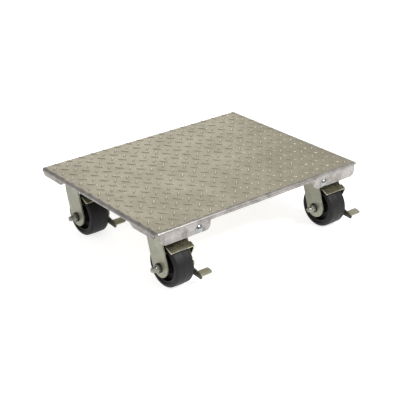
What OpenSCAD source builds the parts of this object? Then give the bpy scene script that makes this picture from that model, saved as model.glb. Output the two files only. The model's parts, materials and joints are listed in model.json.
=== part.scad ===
// Flatbed platform truck: a tread-plate deck with bent-down corner tabs, carried by four
// swivel casters with side brakes. +X runs along the deck, +Y across it, +Z up, and the
// floor is z = 0. The brake pedals reach past the front edge, on the -Y side.

/* [Deck] */
// Length of the deck
deck_l = 609.6; // [520:0.1:1200]
// Width of the deck
deck_w = 457.2; // [420:0.1:900]
// Thickness of the tread plate without its lugs
sheet_t = 5; // [3:0.5:8]
// Outer radius of the bent edges
bend_r = 6.5; // [5:0.5:12]
// Depth of the bent lip along the long edges
long_lip = 11; // [9:0.5:20]
// Depth of the bent lip along the short edges
short_lip = 8.5; // [8:0.5:20]
// Radius of the deck's corners in plan
corner_r = 6; // [3:0.5:10]
// Length of the relief cut in the lips at each corner
corner_relief = 4; // [1:0.5:8]

/* [Corner tabs] */
// Depth of the long-edge tabs below the sheet's face
long_tab_depth = 33; // [26:0.5:36]
// Gap from the deck's corner to a long-edge tab
long_tab_start = 11; // [9:0.5:20]
// Length of a long-edge tab
long_tab_l = 135; // [110:1:160]
// Radius of a long-edge tab's lower corners
long_tab_r = 14; // [6:0.5:20]
// Depth of the short-edge tabs below the sheet's face
short_tab_depth = 17; // [12:0.5:24]
// Gap from the deck's corner to a short-edge tab
short_tab_start = 9; // [9:0.5:20]
// Length of a short-edge tab
short_tab_l = 90; // [60:1:130]
// Length of the taper at each end of a short-edge tab
short_tab_taper = 14; // [5:1:30]

/* [Tread lugs] */
// Height of a lug
lug_h = 1.5; // [0.5:0.1:3]
// Length of a lug
lug_l = 25; // [15:0.5:28]
// Width of a lug at its middle
lug_w = 6.6; // [4:0.1:9]
// Repeat of the pattern along the deck
lug_pitch_x = 35.2; // [34:0.1:60]
// Repeat of the pattern across the deck
lug_pitch_y = 37.2; // [34:0.1:60]
// Shift of the pattern along the deck
lug_shift_x = 15.2; // [-20:0.1:20]
// Shift of the pattern across the deck
lug_shift_y = -5.2; // [-20:0.1:20]

/* [Corner brackets] */
// Thickness of a corner bracket
bracket_t = 5; // [4:0.5:8]
// Depth of the bracket's ear below the deck sheet
ear_depth = 28; // [22:0.5:30]
// Length of the bracket's ear
ear_l = 36; // [26:1:60]
// Outer radius of the bracket's bend
bracket_bend_r = 6; // [4:0.5:9]
// Distance of the tab bolt from the inner end of its tab
tab_bolt_inset = 31.5; // [24:0.5:36]
// Gap between the tab bolt's nut and the mount plate above it
tab_nut_gap = 0.6; // [0.4:0.1:2]
// Diameter of the tab bolt
tab_bolt_d = 8; // [6:1:9]
// Diameter of the tab bolt's dome head
dome_d = 20; // [17:0.5:24]
// Height of the tab bolt's dome head
dome_h = 5; // [4:0.5:6]

// Gap between a corner bracket and the deck's short-edge lip
bracket_end_gap = 8.7; // [4:0.1:40]

/* [Caster] */
// Gap between the mount plate and the ear of its bracket
plate_gap = 1.2; // [0.6:0.1:40]
// Gap between the wheel and the kingpin above it
wheel_top_gap = 21.5; // [14:0.5:40]
// Distance of the axle behind the kingpin
trail = 28; // [24:0.5:32]
// Length of the mount plate, along X
plate_l = 101.6; // [95:0.1:110]
// Width of the mount plate, along Y
plate_w = 110; // [104:0.1:110]
// Thickness of the mount plate
plate_t = 5; // [4:0.5:6]
// Distance of the plate's bolts from its edges along X
plate_edge_x = 17.45; // [14:0.05:20]
// Distance of the plate's bolts from its edges along Y
plate_edge_y = 13; // [9:0.5:15]
// Diameter of the plate's bolts
plate_bolt_d = 8; // [6:1:10]
// Diameter of the kingpin
kingpin_d = 16; // [12:1:20]
// Diameter of a bearing ball in the swivel
ball_d = 7.2; // [6:0.1:9]
// Gap between one bearing ball and the next
ball_side_gap = 1.05; // [0.5:0.05:3]
// Number of bearing balls in the swivel
ball_count = 16; // [14:1:20]

/* [Fork] */
// Gap between the tread and each leg
leg_gap = 5.6; // [4:0.1:10]
// Thickness of the fork
fork_t = 4; // [3:0.5:5]
// Outer radius of the fork's shoulders
fork_bend_r = 9; // [6:0.5:12]
// Radius of a leg's rounded lower end
leg_r = 26; // [22:0.5:28]
// Lean of the legs towards the axle, in degrees
leg_lean = 18; // [12:0.5:20]
// Height above the axle where the legs stop leaning
leg_knee = 57; // [50:0.5:62]

/* [Wheel and axle] */
// Diameter of the wheel
wheel_d = 101.6; // [84:0.1:125]
// Width of the tread
wheel_w = 50.8; // [40:0.1:62]
// Thickness of the tyre
tyre_t = 11; // [8:0.5:14]
// Radius of the tread's shoulders
shoulder_r = 7; // [4:0.5:8]
// Thickness of the wheel's web
web_t = 14; // [8:0.5:24]
// Diameter of the wheel's hub
hub_d = 38; // [34:0.5:44]
// Diameter of the axle bolt
axle_d = 12; // [10:1:14]
// Outer diameter of the bushing round the axle
bushing_d = 18; // [17:0.5:20]
// Outer diameter of the roller bearing
bearing_d = 27; // [25:0.5:30]
// Width across the flats of the axle nut
axle_nut_af = 19; // [17:0.5:22]

/* [Brake] */
// Thickness of the brake lever's sheet
brake_t = 3; // [2:0.5:4]
// Gap between the brake shoe and the leg on the near side
shoe_side_gap = 3; // [1:0.5:8]
// Slope of the brake shoe, in degrees
shoe_slope = 26; // [20:1:30]
// Length of the brake shoe, down its slope
shoe_l = 23; // [16:0.5:26]
// Gap between the released shoe and the tread
shoe_gap = 2.6; // [2:0.1:4]
// Distance that the pedal's end reaches ahead of the axle
pedal_reach = 62; // [56:0.5:66]
// Distance that the pedal's foot tab stands out sideways
foot_tab_w = 28; // [20:0.5:30]
// Length of the foot tab along the pedal
foot_tab_l = 19; // [14:0.5:22]
// Diameter of the brake's pivot
pivot_d = 8; // [6:0.5:10]

/* [Fits] */
// Radial clearance of a running fit
run_fit = 0.05; // [0.02:0.01:0.1]
// Radial clearance of a bolt in its hole
bolt_fit = 0.4; // [0.2:0.1:0.6]
// Gap between faces that move past each other
face_gap = 0.4; // [0.3:0.1:0.6]
// Gap between fixed pieces that only lie near each other
near_gap = 0.3; // [0.2:0.1:0.5]

/* [Hidden] */
$fn = 96;
CORNERS = ["fl", "fr", "bl", "br"];
DECK_NODES = ["deck_plate", "tab_bolts", "tab_nuts"];
CASTER_NODES = [
    "corner_bracket", "mount_plate", "plate_bolts", "kingpin", "swivel_balls", "fork",
    "axle_bolt", "axle_nut", "axle_bushing", "wheel_bearing", "wheel_core", "tyre",
    "brake_lever", "brake_pivot"
];

// How far a cut or a joined piece runs past the face that it meets.
over = 1;

// Heights, from the floor up.
kingpin_flange_h = 6.5;
axle_z = wheel_d / 2;
crown_bottom = wheel_d + wheel_top_gap + kingpin_flange_h + face_gap;
crown_top = crown_bottom + fork_t;
ball_gap = ball_d + 2 * face_gap;
plate_bottom = crown_top + ball_gap;
bracket_bottom = plate_bottom + plate_t;
sheet_bottom = bracket_bottom + bracket_t;
sheet_top = sheet_bottom + sheet_t;

// The corner bracket reaches past the mount plate by these on its free sides.
bracket_side_over = 2;
bracket_end_over = 4;

// Distances of each kingpin from the deck's short and long edges. The deck sits back by half
// of what the pedals reach past its front edge, less the domes on its back edge, so that the
// origin is at the middle of the whole truck.
inset_x = plate_l / 2 + bracket_end_over + bracket_end_gap + sheet_t;
inset_y = plate_w / 2 + plate_gap + bracket_t + near_gap + sheet_t;
deck_y = max(0, trail + pedal_reach - inset_y - dome_h) / 2;
kingpin_x = deck_l / 2 - inset_x;
kingpin_y = deck_w / 2 - inset_y;

// Fasteners.
plate_head_h = 3;
plate_head_d = 2 * plate_bolt_d;
plate_nut_h = 0.7 * plate_bolt_d;
plate_nut_af = 1.6 * plate_bolt_d;
tab_nut_h = 0.8 * tab_bolt_d;
tab_nut_af = 1.6 * tab_bolt_d;
nut_chamfer = 1;
nut_corner = 0.3;
thread_out = 1;
tab_bolt_x = long_tab_start + long_tab_l - tab_bolt_inset - inset_x;
tab_bolt_depth = sheet_t + bracket_t + plate_t + tab_nut_gap + tab_nut_af / 2 / cos(30);
plate_pitch_x = plate_l - 2 * plate_edge_x;
plate_pitch_y = plate_w - 2 * plate_edge_y;
bolt_chamfer = 1;
axle_nut_h = 10;
axle_end = 8;
lock_washer_t = 2.5;
lock_washer_d = axle_nut_af + 4;
axle_head_h = fork_t - 0.5;
axle_head_d = axle_d + 2 * axle_head_h;

// The swivel.
ball_ring_r = ball_count * (ball_d + ball_side_gap) / (2 * PI);
skirt_r = ball_ring_r + ball_d / 2 + face_gap;
skirt_t = 3;
skirt_h = ball_gap - 2;
race_r = ball_ring_r - ball_d / 2 - face_gap;
race_t = 4;
race_h = ball_gap - 2.5;
race_floor = 0.5;
kingpin_flange_d = kingpin_d + 12;
kingpin_chamfer = 2.5;

// The fork. Side outlines are drawn as [ahead of the axle, above the axle].
fork_inner = wheel_w / 2 + leg_gap;
fork_half = fork_inner + fork_t;
crown_ahead = 32;
crown_behind = 19;
leg_centre = [2, 4];
lean = [-sin(leg_lean), cos(leg_lean)];
lean_n = [cos(leg_lean), sin(leg_lean)];
leg_front = leg_centre + leg_r * lean_n;
leg_back = leg_centre - leg_r * lean_n;
knee_front = leg_front + lean * (leg_knee - leg_front.y) / lean.y;
knee_back = leg_back + lean * (leg_knee - leg_back.y) / lean.y;
crown_w = crown_top - axle_z;
crown_front = crown_ahead - trail;
crown_back = -crown_behind - trail;

// The brake lever turns on the far leg. Its shoe's middle stands over the tread.
pivot_at = [-10, 36];
lever_x = fork_half + face_gap;
shoe_along = [cos(shoe_slope), -sin(shoe_slope)];
shoe_out = [sin(shoe_slope), cos(shoe_slope)];
shoe_low = shoe_out * (wheel_d / 2 + shoe_gap);
shoe_top = shoe_low + shoe_out * brake_t;
shoe_back = shoe_top - shoe_along * shoe_l / 2;
shoe_front = shoe_top + shoe_along * shoe_l / 2;
shoe_end_gap = 1.2;
shoe_bridge_l = 14;
shoe_bridge = shoe_front - shoe_along * shoe_bridge_l;
lobe_at = [19.5, 0];
lobe_r = 13;
lobe_front = lobe_at + lobe_r * [cos(45), sin(45)];
lobe_under = lobe_at + lobe_r * [cos(45), -sin(45)];
ear_waist = [22, 17];
arm_bottom = [28, -28];
pedal_angle = 16;
pedal_tip = [pedal_reach, -19];
pedal_heel = [pedal_reach - 5, -30];
pedal_slope = [cos(pedal_angle), -sin(pedal_angle)];
foot_r = 6;
foot_root = pedal_tip - pedal_slope * foot_tab_l;
pivot_boss_r = pivot_d / 2 + 7;
pivot_head_h = 3;
pivot_head_r = pivot_d / 2 + 3.5;

// ---------------------------------------------------------------- helpers

// Puts a piece at a corner's kingpin.
module at_kingpin(c) {
    translate([corner_x(c) * kingpin_x, deck_y + corner_y(c) * kingpin_y, 0]) children();
}

// The same, turned over so that +X and +Y point out of the deck at that corner.
module at_corner(c) {
    at_kingpin(c)
        mirror([corner_x(c) < 0 ? 1 : 0, 0, 0])
            mirror([0, corner_y(c) < 0 ? 1 : 0, 0])
                children();
}

function corner_x(c) = c[1] == "r" ? 1 : -1;
function corner_y(c) = c[0] == "b" ? 1 : -1;

// Stands a side outline of [ahead, above] up and gives it a thickness along X.
module side_plate(x, t) {
    translate([x + t, 0, 0]) rotate([90, 0, -90]) linear_extrude(t) children();
}

// Moves from the kingpin to the axle.
module at_axle() {
    translate([0, -trail, axle_z]) children();
}

// A round bar along X, from x0 to x1.
module bar_x(x0, x1, r) {
    translate([x0, 0, 0]) rotate([0, 90, 0]) cylinder(r = r, h = x1 - x0);
}

// A hexagonal prism with rounded corners and a chamfered end, standing on z = 0.
module hex_nut(af, h) {
    r = af / 2 + nut_corner;
    intersection() {
        cylinder(d = af / cos(30), h = h, $fn = 6);
        rotate_extrude() polygon([
            [0, 0], [r, 0], [r, h - nut_chamfer], [r - nut_chamfer, h], [0, h]
        ]);
    }
}

// A rectangle from (x0, y0) to (x1, y1), with every corner rounded.
module round_rect(x0, y0, x1, y1, r) {
    translate([x0 + r, y0]) square([x1 - x0 - 2 * r, y1 - y0]);
    translate([x0, y0 + r]) square([x1 - x0, y1 - y0 - 2 * r]);
    for (x = [x0 + r, x1 - r], y = [y0 + r, y1 - r]) translate([x, y]) circle(r = r);
}

// The section of a bent sheet: flat top, round shoulders and straight sides.
module shoulders(w, top, depth, r) {
    translate([-w / 2, top - depth]) square([w, depth - r]);
    translate([-w / 2 + r, top - depth]) square([w - 2 * r, depth]);
    for (s = [-1, 1]) translate([s * (w / 2 - r), top - r]) circle(r = r);
}

// ---------------------------------------------------------------- the deck

tray_depth = max(long_tab_depth, short_tab_depth) + over;

module tray(inner) {
    cut = inner ? sheet_t : 0;
    r = bend_r - cut;
    reach = deck_l + deck_w;
    intersection() {
        translate([0, reach / 2, 0]) rotate([90, 0, 0]) linear_extrude(reach)
            shoulders(deck_l - 2 * cut, sheet_top - cut, tray_depth, r);
        translate([-reach / 2, 0, 0]) rotate([90, 0, 90]) linear_extrude(reach)
            shoulders(deck_w - 2 * cut, sheet_top - cut, tray_depth, r);
    }
}

// What is kept of the long edges' flanges, seen along Y.
module long_flange() {
    half = deck_l / 2;
    lip_half = half - corner_relief;
    translate([-lip_half, sheet_top - long_lip]) square([2 * lip_half, long_lip]);
    for (s = [0, 1]) mirror([s, 0])
        round_rect(half - long_tab_start - long_tab_l, sheet_top - long_tab_depth,
            half - long_tab_start, sheet_top + long_tab_r, long_tab_r);
}

// What is kept of the short edges' flanges, seen along X.
module short_flange() {
    half = deck_w / 2;
    lip_half = half - corner_relief;
    tab_out = half - short_tab_start;
    tab_in = tab_out - short_tab_l;
    lip = sheet_top - short_lip;
    foot = sheet_top - short_tab_depth;
    translate([-lip_half, lip]) square([2 * lip_half, short_lip]);
    for (s = [0, 1]) mirror([s, 0]) polygon([
        [tab_in, lip], [tab_in + short_tab_taper, foot], [tab_out - short_tab_taper / 2, foot],
        [tab_out, lip], [tab_out, sheet_top], [tab_in, sheet_top]
    ]);
}

// How deep a lug is set into the sheet.
lug_root = 0.1;

// Two arcs that meet in a point at each end.
module lug_outline() {
    r = (pow(lug_l / 2, 2) + pow(lug_w / 2, 2)) / lug_w;
    intersection() {
        translate([0, r - lug_w / 2]) circle(r = r);
        translate([0, lug_w / 2 - r]) circle(r = r);
    }
}

// Lugs at 45 degrees, each across the line of its neighbours, cut off where the sheet bends.
module tread_lugs() {
    nx = ceil(deck_l / lug_pitch_x / 2) + 1;
    ny = ceil(deck_w / lug_pitch_y / 2) + 1;
    flat_l = deck_l - 2 * bend_r;
    flat_w = deck_w - 2 * bend_r;
    intersection() {
        square([flat_l, flat_w], center = true);
        for (i = [-nx:nx], j = [-ny:ny]) {
            at = [i * lug_pitch_x + lug_shift_x, j * lug_pitch_y + lug_shift_y];
            half = [lug_pitch_x, lug_pitch_y] / 2;
            if (on_flat(at)) translate(at) rotate(-45) lug_outline();
            if (on_flat(at + half)) translate(at + half) rotate(45) lug_outline();
        }
    }
}

// Whether any of a lug at this place lies on the flat of the sheet.
function on_flat(at) = abs(at.x) < deck_l / 2 && abs(at.y) < deck_w / 2;

module tab_bolt_hole() {
    translate([-tab_bolt_x, inset_y + over, sheet_top - tab_bolt_depth])
        rotate([90, 0, 0])
            cylinder(d = tab_bolt_d + 2 * bolt_fit,
                h = sheet_t + bracket_t + near_gap + 2 * over);
}

module deck_plate() {
    color("#b4ac9c") difference() {
        translate([0, deck_y, 0]) {
            intersection() {
                difference() {
                    tray(false);
                    tray(true);
                }
                union() {
                    translate([-deck_l / 2, -deck_w / 2, sheet_bottom])
                        cube([deck_l, deck_w, sheet_t]);
                    translate([0, deck_w / 2, 0]) rotate([90, 0, 0])
                        linear_extrude(deck_w) long_flange();
                    translate([-deck_l / 2, 0, 0]) rotate([90, 0, 90])
                        linear_extrude(deck_l) short_flange();
                }
                translate([0, 0, sheet_top - tray_depth]) linear_extrude(tray_depth)
                    round_rect(-deck_l / 2, -deck_w / 2, deck_l / 2, deck_w / 2, corner_r);
            }
            translate([0, 0, sheet_top - lug_root])
                linear_extrude(lug_h + lug_root) tread_lugs();
        }
        for (c = CORNERS) at_corner(c) tab_bolt_hole();
    }
}

// The dome-head bolt through each long-edge tab and its bracket's ear.
module tab_bolts() {
    shank = sheet_t + bracket_t + near_gap + tab_nut_h + thread_out;
    dome_r = (pow(dome_d / 2, 2) + pow(dome_h, 2)) / (2 * dome_h);
    color("silver") for (c = CORNERS) at_corner(c)
        translate([-tab_bolt_x, inset_y, sheet_top - tab_bolt_depth]) rotate([-90, 0, 0]) {
            translate([0, 0, -shank]) cylinder(d = tab_bolt_d, h = shank);
            intersection() {
                cylinder(d = dome_d, h = dome_h);
                translate([0, 0, dome_h - dome_r]) sphere(r = dome_r);
            }
        }
}

module tab_nuts() {
    stack = sheet_t + bracket_t + near_gap;
    color("silver") for (c = CORNERS) at_corner(c)
        translate([-tab_bolt_x, inset_y - stack, sheet_top - tab_bolt_depth])
            rotate([90, 0, 0]) difference() {
                hex_nut(tab_nut_af, tab_nut_h);
                translate([0, 0, -over])
                    cylinder(d = tab_bolt_d + 2 * run_fit, h = tab_nut_h + 2 * over);
            }
}

// ---------------------------------------------------------------- fixed to each corner

// A plate between the deck and the caster, with an ear bent down behind the long-edge tab.
module corner_bracket() {
    plan_r = 6;
    ear_r = 5;
    ear_margin = 0.8;
    edge = inset_y - sheet_t - near_gap;
    ear_at = -tab_bolt_x - ear_l / 2;
    inner_end = min(ear_at - ear_margin, -plate_l / 2 - bracket_end_over);
    color("#8d8f88") difference() {
        intersection() {
            union() {
                translate([0, 0, bracket_bottom]) linear_extrude(bracket_t)
                    round_rect(inner_end, -plate_w / 2 - bracket_side_over,
                        plate_l / 2 + bracket_end_over, edge, plan_r);
                translate([0, edge, 0]) rotate([90, 0, 0]) linear_extrude(bracket_t) {
                    round_rect(ear_at, sheet_bottom - ear_depth, ear_at + ear_l,
                        sheet_bottom - over, ear_r);
                    translate([ear_at, bracket_bottom]) square([ear_l, bracket_t]);
                }
            }
            translate([inner_end, edge - plate_w, 0]) rotate([90, 0, 90])
                linear_extrude(plate_l - inner_end)
                    shoulders(2 * plate_w, sheet_bottom, sheet_bottom, bracket_bend_r);
        }
        for (x = [-1, 1], y = [-1, 1])
            translate([x * plate_pitch_x / 2, y * plate_pitch_y / 2, bracket_bottom]) {
                translate([0, 0, -over])
                    cylinder(d = plate_bolt_d + 2 * bolt_fit, h = bracket_t + 2 * over);
                translate([0, 0, bracket_t - plate_head_h])
                    cylinder(d = plate_head_d + 2 * bolt_fit, h = bracket_t);
            }
        tab_bolt_hole();
    }
}

module mount_plate() {
    plan_r = 9;
    color("#9fa196") difference() {
        union() {
            translate([0, 0, plate_bottom]) linear_extrude(plate_t)
                round_rect(-plate_l / 2, -plate_w / 2, plate_l / 2, plate_w / 2, plan_r);
            translate([0, 0, plate_bottom - skirt_h])
                cylinder(r = skirt_r + skirt_t, h = skirt_h + over);
        }
        translate([0, 0, plate_bottom - skirt_h - over])
            cylinder(r = skirt_r, h = skirt_h + over);
        translate([0, 0, plate_bottom - over]) cylinder(d = kingpin_d, h = plate_t + 2 * over);
        for (x = [-1, 1], y = [-1, 1])
            translate([x * plate_pitch_x / 2, y * plate_pitch_y / 2, plate_bottom - over])
                cylinder(d = plate_bolt_d + 2 * bolt_fit, h = plate_t + 2 * over);
    }
}

// Low-head bolts sunk into the bracket, each with its nut under the mount plate.
module plate_bolts() {
    head_at = sheet_bottom - plate_head_h;
    shank_end = plate_bottom - plate_nut_h - thread_out;
    color("silver") for (x = [-1, 1], y = [-1, 1])
        translate([x * plate_pitch_x / 2, y * plate_pitch_y / 2, 0]) {
            translate([0, 0, shank_end]) cylinder(d = plate_bolt_d, h = head_at - shank_end);
            translate([0, 0, head_at]) cylinder(d = plate_head_d, h = plate_head_h);
            translate([0, 0, plate_bottom]) mirror([0, 0, 1]) difference() {
                hex_nut(plate_nut_af, plate_nut_h);
                translate([0, 0, -over])
                    cylinder(d = plate_bolt_d + 2 * run_fit, h = plate_nut_h + 2 * over);
            }
        }
}

// A flanged rivet: its top fills the mount plate, and its flange carries the fork.
module kingpin() {
    flange_top = crown_bottom - face_gap;
    color("#a9aba2") translate([0, 0, flange_top - kingpin_flange_h]) {
        cylinder(d = kingpin_d, h = bracket_bottom - flange_top + kingpin_flange_h);
        cylinder(d1 = kingpin_flange_d - 2 * kingpin_chamfer, d2 = kingpin_flange_d,
            h = kingpin_chamfer);
        translate([0, 0, kingpin_chamfer])
            cylinder(d = kingpin_flange_d, h = kingpin_flange_h - kingpin_chamfer);
    }
}

// ---------------------------------------------------------------- turns with the fork

module swivel_balls() {
    color("#c8c8c8") for (i = [0:ball_count - 1]) rotate(i * 360 / ball_count)
        translate([ball_ring_r, 0, crown_top + ball_gap / 2]) sphere(d = ball_d, $fn = 32);
}

module leg_outline() {
    translate(leg_centre) circle(r = leg_r);
    polygon([
        leg_front, knee_front, [crown_front, crown_w], [crown_back, crown_w], knee_back, leg_back
    ]);
}

module fork() {
    reach = 4 * (crown_ahead + crown_behind);
    color("#a3a594") difference() {
        union() {
            intersection() {
                translate([0, reach / 2, 0]) rotate([90, 0, 0]) linear_extrude(reach)
                    difference() {
                        shoulders(2 * fork_half, crown_top, crown_top, fork_bend_r);
                        shoulders(2 * fork_inner, crown_bottom, crown_top,
                            fork_bend_r - fork_t);
                    }
                at_axle() side_plate(-fork_half, 2 * fork_half) leg_outline();
            }
            translate([0, 0, crown_top - over]) cylinder(r = race_r, h = race_h + over);
        }
        translate([0, 0, crown_bottom - over])
            cylinder(d = kingpin_d + 2 * run_fit, h = fork_t + race_h + 2 * over);
        translate([0, 0, crown_top + race_floor]) cylinder(r = race_r - race_t, h = race_h);
        at_axle() {
            bar_x(-fork_half - over, fork_half + over, axle_d / 2 + run_fit);
            translate([fork_half - axle_head_h, 0, 0]) rotate([0, 90, 0])
                cylinder(d1 = axle_d + 2 * run_fit, d2 = axle_head_d + 2 * run_fit,
                    h = axle_head_h);
        }
        at_axle() translate([0, -pivot_at.x, pivot_at.y])
            bar_x(fork_inner - over, fork_half + over, pivot_d / 2 + run_fit);
    }
}

// The axle is a bolt whose flat head lies flush in the far leg, where the lever passes over.
module axle_bolt() {
    end = -fork_half - lock_washer_t - axle_nut_h - axle_end;
    color("#b9bbb0") at_axle() {
        bar_x(end + bolt_chamfer, fork_half - axle_head_h, axle_d / 2);
        translate([end, 0, 0]) rotate([0, 90, 0])
            cylinder(d1 = axle_d - 2 * bolt_chamfer, d2 = axle_d, h = bolt_chamfer);
        translate([fork_half - axle_head_h, 0, 0]) rotate([0, 90, 0])
            cylinder(d1 = axle_d, d2 = axle_head_d, h = axle_head_h);
    }
}

// A hex nut on a dark lock washer.
module axle_nut() {
    at_axle() difference() {
        union() {
            color("#2c2c2a") bar_x(-fork_half - lock_washer_t, -fork_half, lock_washer_d / 2);
            color("#b9bbb0") translate([-fork_half - lock_washer_t, 0, 0]) rotate([0, -90, 0])
                hex_nut(axle_nut_af, axle_nut_h);
        }
        bar_x(-fork_half - lock_washer_t - axle_nut_h - over, 0, axle_d / 2 + run_fit);
    }
}

module axle_bushing() {
    color("#8a8c88") at_axle() difference() {
        bar_x(-fork_inner, fork_inner, bushing_d / 2);
        bar_x(-fork_inner - over, fork_inner + over, axle_d / 2 + run_fit);
    }
}

// The rivet that the lever turns on.
module brake_pivot() {
    head_x = lever_x + brake_t + face_gap;
    color("#b9bbb0") at_axle() translate([0, -pivot_at.x, pivot_at.y]) {
        bar_x(fork_inner - pivot_head_h, fork_inner, pivot_head_r);
        bar_x(fork_inner - over, head_x + over, pivot_d / 2);
        bar_x(head_x, head_x + pivot_head_h, pivot_head_r);
    }
}

// ---------------------------------------------------------------- turns with the wheel

hub_half = fork_inner - face_gap;
rim_r = wheel_d / 2 - tyre_t;
rim_t = 5;
rim_inset = 3;
ring_w = 2;
wall_recess = 1.5;

module wheel_bearing() {
    color("#9a9a98") at_axle() difference() {
        bar_x(-hub_half, hub_half, bearing_d / 2);
        bar_x(-hub_half - over, hub_half + over, bushing_d / 2 + run_fit);
    }
}

// The hub, the web and the rim that the tyre is moulded on.
module wheel_core() {
    rim_half = wheel_w / 2 - rim_inset;
    color("#1d1a19") at_axle() rotate([0, 90, 0]) rotate_extrude() {
        translate([bearing_d / 2, -hub_half]) square([(hub_d - bearing_d) / 2, 2 * hub_half]);
        translate([hub_d / 2 - over, -web_t / 2]) square([rim_r - hub_d / 2, web_t]);
        translate([rim_r - rim_t, -rim_half]) square([rim_t, 2 * rim_half]);
    }
}

// Rounded shoulders, a raised ring inside them, and side walls that stand back from the ring.
module tyre() {
    half = wheel_w / 2;
    ring_r = wheel_d / 2 - shoulder_r - ring_w;
    color("#171415") at_axle() rotate([0, 90, 0]) rotate_extrude() intersection() {
        translate([rim_r, -half]) square([tyre_t, wheel_w]);
        union() {
            translate([rim_r, -half + wall_recess])
                square([tyre_t - shoulder_r, wheel_w - 2 * wall_recess]);
            translate([ring_r, -half]) square([ring_w, wheel_w]);
            translate([ring_r, -half + shoulder_r])
                square([shoulder_r + ring_w, wheel_w - 2 * shoulder_r]);
            for (s = [-1, 1]) translate([wheel_d / 2 - shoulder_r, s * (half - shoulder_r)])
                circle(r = shoulder_r);
        }
    }
}

// ---------------------------------------------------------------- the brake lever

// A sheet of thickness t seen edge on, hanging under the line from one point to the other.
module strip(from, to, t, out) {
    polygon([from, to, to - out * t, from - out * t]);
}

// The side plate: pivot boss and shoe above, the lobe over the axle, and the arm below.
module lever_outline() {
    translate(lobe_at) circle(r = lobe_r);
    translate(pivot_at) circle(r = pivot_boss_r);
    polygon([
        shoe_back, shoe_front, shoe_front - shoe_out * brake_t, ear_waist, lobe_front,
        lobe_at, lobe_at - [lobe_r, 0], pivot_at - [0, pivot_boss_r], pivot_at,
        pivot_at + [0, pivot_boss_r]
    ]);
    polygon([
        lobe_at + [lobe_r, 0], lobe_under, foot_root, pedal_tip, pedal_heel,
        arm_bottom, lobe_at - [lobe_r, 0]
    ]);
}

// One stamped sheet: shoe over the wheel, side plate on the far leg, arm and foot tab.
module brake_lever() {
    shoe_x = -fork_inner + shoe_side_gap;
    shoe_w = 2 * fork_inner - shoe_side_gap - shoe_end_gap;
    foot_end = lever_x + brake_t + foot_tab_w;
    pedal_n = [-pedal_slope.y, pedal_slope.x];
    color("#6d6c58") at_axle() difference() {
        union() {
            side_plate(lever_x, brake_t) lever_outline();
            side_plate(shoe_x, shoe_w)
                strip(shoe_back, shoe_front, brake_t, shoe_out);
            side_plate(0, lever_x + brake_t)
                strip(shoe_bridge, shoe_front, brake_t, shoe_out);
            intersection() {
                side_plate(lever_x, brake_t + foot_tab_w)
                    strip(foot_root, pedal_tip, brake_t, pedal_n);
                translate([0, 0, -axle_z]) linear_extrude(2 * axle_z)
                    round_rect(lever_x - 2 * foot_r, -pedal_reach, foot_end,
                        -foot_root.x + foot_r, foot_r);
            }
        }
        translate([0, -pivot_at.x, pivot_at.y])
            bar_x(lever_x - over, lever_x + brake_t + over, pivot_d / 2 + run_fit);
    }
}

// ---------------------------------------------------------------- the truck

deck_plate();
tab_bolts();
tab_nuts();
for (c = CORNERS) {
    at_corner(c) corner_bracket();
    at_kingpin(c) mount_plate();
    at_kingpin(c) plate_bolts();
    at_kingpin(c) kingpin();
    at_kingpin(c) swivel_balls();
    at_kingpin(c) fork();
    at_kingpin(c) axle_bolt();
    at_kingpin(c) axle_nut();
    at_kingpin(c) axle_bushing();
    at_kingpin(c) wheel_bearing();
    at_kingpin(c) wheel_core();
    at_kingpin(c) tyre();
    at_kingpin(c) brake_lever();
    at_kingpin(c) brake_pivot();
}
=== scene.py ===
"""Looks of the flatbed platform truck: a tread-plate deck on four braked swivel casters.

Lengths are in millimetres until they reach a mesh, where MM turns them into metres. Places come
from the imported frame: its joints give each kingpin, axle and brake pivot, and its boxes the rest.
"""
import json
import math

import bmesh
import bpy
from mathutils import Matrix, Vector


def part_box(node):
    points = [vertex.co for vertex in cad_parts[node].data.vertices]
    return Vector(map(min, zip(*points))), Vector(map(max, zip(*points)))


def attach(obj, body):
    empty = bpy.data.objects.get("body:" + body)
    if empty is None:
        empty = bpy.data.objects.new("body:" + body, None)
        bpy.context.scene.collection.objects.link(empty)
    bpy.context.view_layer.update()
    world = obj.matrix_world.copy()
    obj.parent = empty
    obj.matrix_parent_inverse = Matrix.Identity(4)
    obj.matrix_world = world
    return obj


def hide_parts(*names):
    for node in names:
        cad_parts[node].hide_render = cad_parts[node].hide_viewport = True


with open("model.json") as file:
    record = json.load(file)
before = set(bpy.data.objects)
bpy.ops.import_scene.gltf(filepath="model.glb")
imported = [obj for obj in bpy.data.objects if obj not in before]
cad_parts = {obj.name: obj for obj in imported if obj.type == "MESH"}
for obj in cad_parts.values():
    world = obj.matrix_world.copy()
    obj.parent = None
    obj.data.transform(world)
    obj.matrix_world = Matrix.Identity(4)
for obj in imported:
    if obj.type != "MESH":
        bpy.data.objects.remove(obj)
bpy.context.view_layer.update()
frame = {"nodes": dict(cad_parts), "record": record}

MM = 0.001
CORNERS = ("fl", "fr", "bl", "br")
joints = {j["name"]: j for j in frame["record"]["behaviour"]["joints"]}

# Deck sheet
SHEET_T = 5.0
BEND_R = 6.5
PLAN_R = 7.0
RIM_R = 0.7
LONG_LIP, SHORT_LIP = 11.0, 8.5
LONG_TAB, SHORT_TAB = 33.0, 17.0
LONG_TAB_START, LONG_TAB_L, LONG_TAB_R = 11.0, 135.0, 14.0
SHORT_TAB_START, SHORT_TAB_L = 9.0, 90.0
SHORT_TAB_IN, SHORT_TAB_OUT = 14.0, 7.0
RELIEF_LONG, RELIEF_SHORT, RELIEF_DEPTH = 9.0, 2.5, 4.4

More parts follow.
